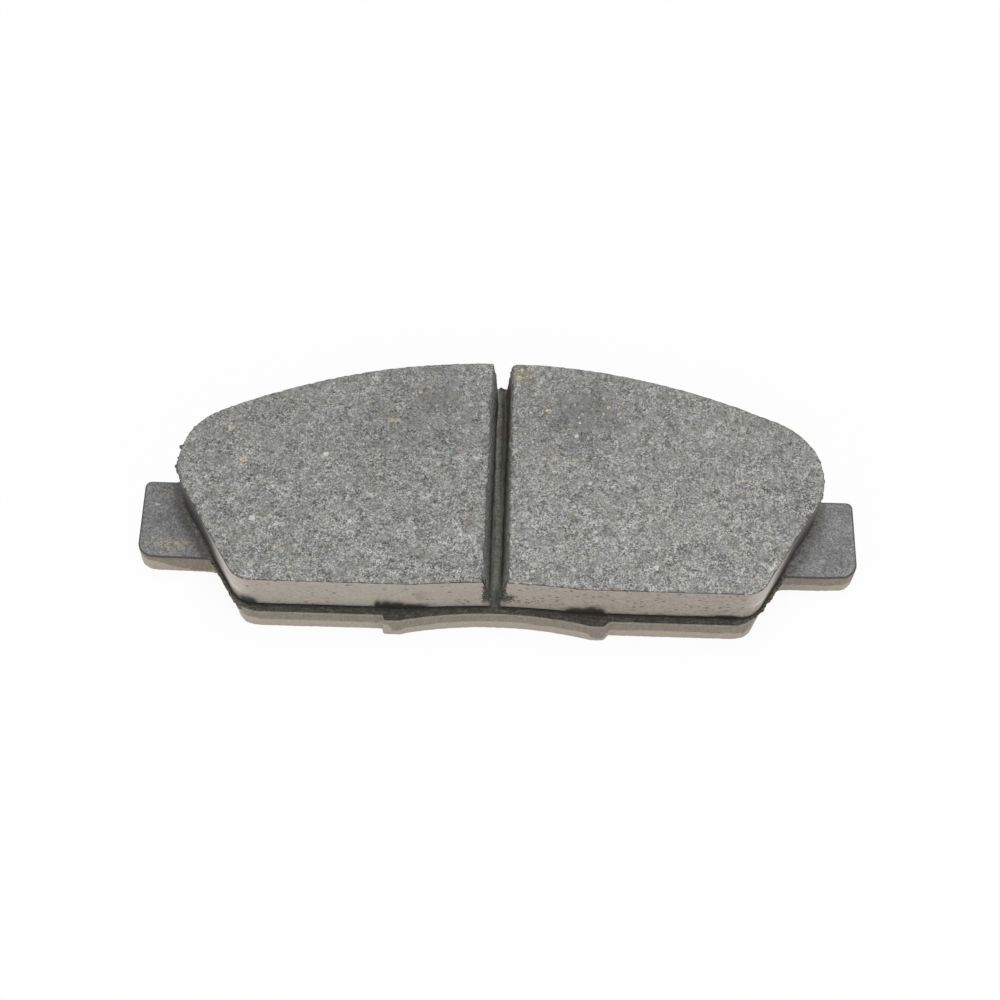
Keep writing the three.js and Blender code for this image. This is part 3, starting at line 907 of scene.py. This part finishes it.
def flash_outline(film):
    """The film's outline, out over the plate's lower edge in front and ragged all round, and how much of
    each point is over that edge."""
    plate = steep_feet(resampled(cap_loops("backing_plate", FILM_Z)[0], 0.04))
    normal = outward(film)
    spots = at_height(film, FILM_Z)
    x, y = film.T
    ragged = 0.2 * soft_noise(spots, 1.8, 80) + 0.17 * soft_noise(spots, 0.8, 81)
    ragged += 0.12 * soft_noise(spots, 0.4, 82)
    reach = np.where(x < 0, 0.1, 0.0) + 0.4 * ease(-y, 24.2, 26)
    reach -= 0.2 * ease(-x, 51, 53) + 0.08 * ease(-y, 17, 20) * ease(x, 48, 51)
    reach -= 0.6 * ease(-y, 23.5, 25.5) * ease(x, 50, 52.5)
    outline = film + normal * (ragged * (0.45 + 0.55 * ease(-normal[:, 1], -0.2, 0.4)) + reach)[:, None]
    over_edge = film.copy()
    over_edge[:, 1] = lower_edge(plate, x)
    over_edge += normal * (0.3 + 0.12 * ragged)[:, None]
    over = ease(-y, 22, 24.5) * ease(np.abs(x), 52.6, 50.4)
    return outline * (1 - over)[:, None] + over_edge * over[:, None], over


def bonding_film():
    film, *holes = cap_loops("bonding_film", FILM_Z)
    outline, over = flash_outline(resampled(film, FLASH_STEP))
    blocks = [ring_at(block_base(name)[0], side, UNDERLAYER_Z) for name, side in SIDES.items()]
    piece = Piece()
    normal = outward(outline)
    spots = at_height(outline, 0)
    x, y = outline.T
    lap = 0.5 + 0.22 * soft_noise(spots, 1.1, 78) + 0.3 * clumps(spots, 0.7, 79, 0.6, close=0.2)
    lap *= np.maximum(over, ease(-y, 23, 25))
    lap *= ease(x, 53.2, 52)
    for place, width, tip, drop in DRIPS:
        lap += drop * ease(np.abs(x - place), width, tip) * (y < -24)
    bottom = piece.add(at_height(outline - normal * (0.5 * ease(lap, 0, 0.1))[:, None], FILM_Z))
    lip = piece.add(at_height(outline, FILM_Z + 0.05 - lap))
    rim = outline - normal * 0.12
    top = piece.add(at_height(rim, FILM_Z + 0.16 + 0.07 * soft_noise(at_height(rim, 0), 0.5, 83)))
    piece.bands([bottom, lip, top])

    def wall_gap(points):
        return np.minimum(*[gap_to(points, block) for block in blocks])

    def covered(points):
        return inside(points, blocks[0]) | inside(points, blocks[1])

    def height(points):
        spot = at_height(points, 0)
        grains = 0.1 * soft_noise(spot, 0.45, 84) + 0.07 * soft_noise(spot, 0.9, 85)
        lumps = clumps(spot, 0.8, 86, 0.55, 0.5, by_value=1) * 0.16
        gap = wall_gap(points)
        z = UNDERLAYER_Z - 0.02 + (grains + lumps) * ease(gap, 0, 0.3)
        floor = slot_floor(points)
        ridge = 0.42 * ridge_share(points) * floor
        z += ridge * (0.75 + 0.35 * soft_noise(spot, (0.8, 2.2, 1), 87)) - 0.5 * lumps * floor
        z += 0.7 * ease(gap, 0.6, 0) ** 2 * floor
        z -= 0.22 * ease(gap_to(points, outline), 0.9, 0) * (1 - floor)
        crumb = norm(points - FAR_CRUMB, axis=1)
        z += 0.9 * ease(crumb, 0.75, 0.2) + 0.3 * grains * floor * ease(points[:, 1], 26.5, 27.5)
        return np.where(covered(points), UNDERLAYER_Z - 0.05, np.maximum(z, FILM_Z + 0.04))

    grid = scattered(rim, FLASH_STEP, 88)
    grid = grid[~covered(grid) | (wall_gap(grid) < 0.6)]
    hole_rings = []
    for hole in holes:
        hole = resampled(hole, HOLE_STEP)[::-1]
        low = piece.add(at_height(hole, FILM_Z))
        high = piece.add(at_height(hole, UNDERLAYER_Z - 0.05))
        piece.band(low, high)
        hole_rings.append((low, high))
    piece.cap([top, *[high for low, high in hole_rings]], grid, height)
    piece.cap([bottom, *[low for low, high in hole_rings]], up=False)
    points = np.concatenate(piece.points)[:, :2]
    gap = wall_gap(points)
    floor = slot_floor(points)
    attributes = {"rim": ease(gap_to(points, outline), 0.75, 0.1), "floor": floor,
                  "ridge": ridge_share(points), "corner": ease(gap, 0.65, 0.1),
                  "root": ease(gap, 0.7, 0.15) * (1 - floor)}
    return piece.make("bonding_film_flash", [resin], ["bonding_film"], attributes,
                      sharp=math.radians(60))


def slot_floor(points):
    """1 on the slot's floor and 0 elsewhere."""
    x, y = points.T
    return ease(np.abs(x), 2.3, 1.9) * ease(y, -25, -22.8)


def ridge_share(points):
    """1 on the crest of the low ridge along the slot's floor, falling to 0 beside it."""
    x, y = points.T
    far = ease(y, 14, 28)
    middle = np.interp(y, (-25, -20.5, -17.5, -8, 0, 6, 23, 28),
                       (-0.8, -0.6, -0.28, -0.34, -0.52, -0.53, -0.53, -0.25))
    middle += 0.1 * soft_noise(at_height(points, 0), (50, 7, 1), 89)
    return ease(np.abs(x - middle), 0.9 - 0.25 * far, 0.15)


# The stamped backing plate

PLATE_STEP = 0.32
PLATE_LEVELS = (0, 0.12, 0.4, 0.9, 1.4, 1.8, 2.2, 2.5, 2.8, 3.2, 3.7, 4.3, 5.0, 5.65)
BACK_INSET = 0.06
EDGE_ROLL = 0.35
HOLE_RINGS = ((0, 5.45), (0.12, 5.38), (2.6, 5.0), (FILM_Z, 5.0))  # height and radius, flared at the back
# How far the ears' lower edges stand out beyond the drawn outline, as x and distance
EAR_DROP = ((-74, 0), (-70, 0.15), (-64, 0.2), (-57, 0.4), (0, 0), (57, 0.5), (62, 0.42), (68, 0.38),
            (72, 0.15), (75, 0))
# Waves in the line between the sheared and the fracture band, as x, half width and rise
BAND_WAVES = ((-22.8, 1.6, 1.7), (-20.6, 1.8, -0.9), (21, 2.6, -1.6))


def backing_plate():
    outer, *holes = cap_loops("backing_plate", 0)
    outer = steep_feet(resampled(outer, PLATE_STEP))
    normal = outward(outer)
    x, y = outer.T
    # The lower edge and its corners stand out a little from the drawn outline
    out = 0.03 + 0.17 * ease(-y, 22, 26)
    out += np.where(x < 0, 0.28, 0.14) * ease(-y, 19, 23.5) * ease(np.abs(x), 50, 51.5)
    ear = (normal[:, 1] < -0.9) * ease(-y, 11, 13) * ease(-y, 20, 18)
    out += ear * np.interp(x, *zip(*EAR_DROP))
    outer = outer + normal * out[:, None]
    x, y = outer.T
    piece = Piece()
    wave = at_height(outer, 0)
    boundary = 2.5 + 0.35 * soft_noise(wave, 9, 90) + 0.22 * soft_noise(wave, 3, 91)
    boundary += ease(-y, 22, 25) * (0.5 + 0.3 * ease(x, -25, -40))
    boundary += 0.08 * soft_noise(wave, 0.8, 92)
    for place, width, rise in BAND_WAVES:
        boundary += rise * ease(np.abs(x - place), width, 0.4 * width) * (y < -22)
    left_ear = ease(x, -57, -60) * ease(y, -8, -11)
    boundary += left_ear * (-1.6 + 3 * ease(x, -64, -73))
    rings = []
    broken = []
    for z in PLATE_LEVELS:
        ring = at_height(outer, z)
        fracture = ease(boundary - z, -0.05, 0.15)
        rough = 0.05 * soft_noise(ring, 0.7, 93) + 0.03 * soft_noise(ring, 0.35, 94) - 0.03
        sheared = 0.008 * soft_noise(ring, (1.2, 1.2, 6), 95)
        inset = 0 if z else BACK_INSET
        ring[:, :2] += normal * (fracture * rough + (1 - fracture) * sheared - inset)[:, None]
        rings.append(piece.add(ring))
        broken.append(fracture)
    for angle in map(math.radians, (35, 65, 90)):
        back = EDGE_ROLL * (1 - math.cos(angle))
        drop = EDGE_ROLL * (1 - math.sin(angle))
        rings.append(piece.add(at_height(outer - normal * back, FILM_Z - drop)))
        broken.append(np.zeros(len(outer)))
    sides = len(PLATE_LEVELS)
    piece.bands(rings[:sides], 1)
    piece.bands(rings[sides - 1:], 2)
    hole_rings = []
    for hole in holes:
        middle, shape = spokes(resampled(hole, HOLE_STEP)[::-1])
        steps = []
        for z, radius in HOLE_RINGS:
            steps.append(piece.add(at_height(middle + shape * radius, z)))
            broken.append(np.zeros(len(shape)))
        piece.bands(steps, 1)
        hole_rings.append(steps)
    piece.cap([rings[-1], *[steps[-1] for steps in hole_rings]])
    piece.cap([rings[0], *[steps[0] for steps in hole_rings]], up=False)
    return piece.make("stamped_plate", [paint, side_face, rolled], ["backing_plate"],
                      {"fracture": np.concatenate(broken)})


ground, wall, slot_side, resin = friction_ground(), friction_wall(), slot_wall(), flash_resin()
edge = dark_mix("friction_edge", 0.8, 0.25, 0.06, "2e2b26", "544f48", "8c867c")
key = dark_mix("key_mix", 0.85, 0.3, 0.08, "302e2a", "5e5a53", "928c82")
paint, side_face, rolled = plate_paint(), plate_side(), edge_paint()

backing_plate()
bonding_film()
for hand in SIDES:
    underlayer(hand)
    friction_block(hand)


# Camera, floor and light

ELEVATION = math.radians(60.62)
AZIMUTH = math.radians(-1.25)
ROLL = math.radians(2.87)
DISTANCE = 430.2
AIM_Y = 3.94
SHIFT_RIGHT = 0.15
SHIFT_UP = 0.02
FOCAL_LENGTH = 72
FLOOR_SIZE = 6  # in metres
FLOOR_LEVEL = 0.94
FLOOR_GLOW = 0.93  # how much of the seen floor is plain white
WORLD_LEVEL = 0.45
# Soft square lamps, aimed at the pad, as name, place and size in metres, and power
LAMPS = (("key", (0.05, 0.12, 0.8), 0.5, 2.75), ("left_box", (-0.6, -0.5, 0.4), 0.4, 1.48),
         ("right_box", (0.6, -0.5, 0.4), 0.4, 1.14))


def add_camera():
    back = Vector((math.sin(AZIMUTH) * math.cos(ELEVATION), -math.cos(AZIMUTH) * math.cos(ELEVATION),
                   math.sin(ELEVATION)))
    level = Vector((math.cos(AZIMUTH), math.sin(AZIMUTH), 0))
    upright = back.cross(level)
    right = level * math.cos(ROLL) + upright * math.sin(ROLL)
    up = upright * math.cos(ROLL) - level * math.sin(ROLL)
    eye = back * DISTANCE + right * SHIFT_RIGHT + up * SHIFT_UP + Vector((0, AIM_Y, 0))
    lens = bpy.data.cameras.new("camera")
    lens.lens = FOCAL_LENGTH
    lens.clip_start = 0.01
    camera = add_object("camera", lens)
    turn = Matrix((right, up, back)).transposed().to_4x4()
    camera.matrix_world = Matrix.Translation(eye * MM) @ turn
    bpy.context.scene.camera = camera


def add_light(name, place, size, power):
    lamp = bpy.data.lights.new(name, "AREA")
    lamp.size = size
    lamp.energy = power
    light = add_object(name, lamp)
    light.location = place
    light.rotation_euler = Vector(place).to_track_quat("Z", "Y").to_euler()


def seen_white(nodes):
    """1 where the camera sees the surface, directly or through gloss or glass."""
    rays = nodes.node("LightPath").outputs
    return nodes.most(rays["Is Camera Ray"], rays["Is Glossy Ray"], rays["Is Transmission Ray"])


def add_floor():
    bpy.ops.mesh.primitive_plane_add(size=FLOOR_SIZE)
    floor = bpy.context.object
    floor.name = "floor"
    floor.location.z = -0.05 * MM
    material = bpy.data.materials.new("floor_white")
    material.use_nodes = True
    nodes = Nodes(material.node_tree)
    nodes.tree.nodes.clear()
    output, matte, glow, mix = map(nodes.node, ("OutputMaterial", "BsdfDiffuse", "Emission", "MixShader"))
    nodes.put(matte.inputs["Color"], (FLOOR_LEVEL, FLOOR_LEVEL, FLOOR_LEVEL, 1))
    nodes.put(mix.inputs[0], nodes.times(seen_white(nodes), FLOOR_GLOW))
    nodes.put(mix.inputs[1], matte.outputs[0])
    nodes.put(mix.inputs[2], glow.outputs[0])
    nodes.put(output.inputs[0], mix.outputs[0])
    floor.data.materials.append(material)


def add_world():
    world = bpy.data.worlds.new("studio")
    world.use_nodes = True
    nodes = Nodes(world.node_tree)
    background = nodes.tree.nodes["Background"]
    nodes.put(background.inputs["Color"], (1, 1, 1, 1))
    nodes.put(background.inputs["Strength"], nodes.ease(seen_white(nodes), 0, 1, WORLD_LEVEL, 1))
    bpy.context.scene.world = world


add_camera()
add_floor()
add_world()
for lamp in LAMPS:
    add_light(*lamp)
bpy.context.scene.view_settings.view_transform = "Standard"
